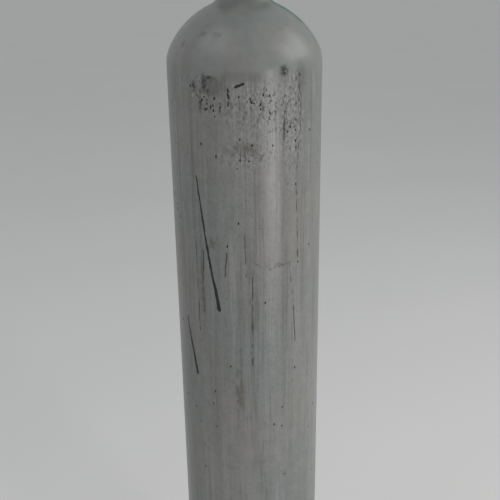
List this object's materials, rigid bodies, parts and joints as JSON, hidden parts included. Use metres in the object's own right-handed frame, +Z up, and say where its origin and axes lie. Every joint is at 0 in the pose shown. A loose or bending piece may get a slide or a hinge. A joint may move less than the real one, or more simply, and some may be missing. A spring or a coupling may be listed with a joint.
{
  "type": "oxygen cylinder",
  "caption": "Tall steel gas cylinder with foot ring, open valve guard, brass valve with handwheel, capped side outlet and pressure relief.",
  "frame": {"origin": "centre of the foot ring's underside, on the floor and on the cylinder's axis", "axes": "+Z up along the cylinder's axis; -Y is the way that the valve's outlet faces; +Y is the way that its pressure relief faces"},
  "size_m": [0.219, 0.219, 1.4436],
  "materials": {
    "shell_paint": "satin enamel, scuffed and chipped",
    "guard_paint": "satin enamel, worn at the edges",
    "bare_steel": "turned, dull and lightly stained",
    "bright_steel": "zinc plated",
    "brass": "machined, slightly tarnished",
    "copper": "soft annealed copper",
    "wheel_enamel": "enamelled light alloy",
    "ring_plastic": "moulded",
    "nylon": "natural nylon"
  },
  "bodies": {
    "cylinder": {"cylinder_shell": "shell_paint", "foot_ring": "shell_paint", "neck_ring": "bare_steel", "valve_guard": "guard_paint", "guard_lock_screw_left": "bright_steel", "guard_lock_screw_right": "bright_steel", "test_ring": "ring_plastic", "valve_body": "brass", "anti_debris_tube": "brass", "stem_gasket": "nylon", "bonnet_nut": "brass", "relief_gasket": "copper", "burst_disc": "copper", "relief_plug": "brass"},
    "spindle": {"valve_stem": "brass", "drive_blade": "bare_steel", "handwheel_spring": "bright_steel", "handwheel": "wheel_enamel", "handwheel_washer": "bright_steel", "handwheel_nut": "bright_steel"},
    "plug": {"valve_plug": "brass", "seat_pad": "nylon"},
    "cap_washer": {"outlet_washer": "nylon"},
    "cap": {"outlet_cap": "brass"}
  },
  "joints": [
    {"name": "handwheel_turn", "type": "hinge", "parent": "cylinder", "child": "spindle", "pos_m": [0, 0, 1.4148], "axis": [0, 0, 1], "range_deg": [0, 900]},
    {"name": "plug_lift", "type": "slide", "parent": "spindle", "child": "plug", "axis": [0, 0, 1], "range_m": [0, 0.00375]},
    {"name": "cap_travel", "type": "slide", "parent": "cylinder", "child": "cap_washer", "axis": [0, -1, 0], "range_m": [0, 0.01633]},
    {"name": "cap_turn", "type": "hinge", "parent": "cap_washer", "child": "cap", "pos_m": [0, -0.036, 1.357], "axis": [0, -1, 0], "range_deg": [0, 3240]}
  ],
  "couplings": [
    {"joint": "plug_lift", "follows": "handwheel_turn", "m_per_rad": 0.00023873},
    {"joint": "cap_travel", "follows": "cap_turn", "m_per_rad": 0.00028871}
  ]
}
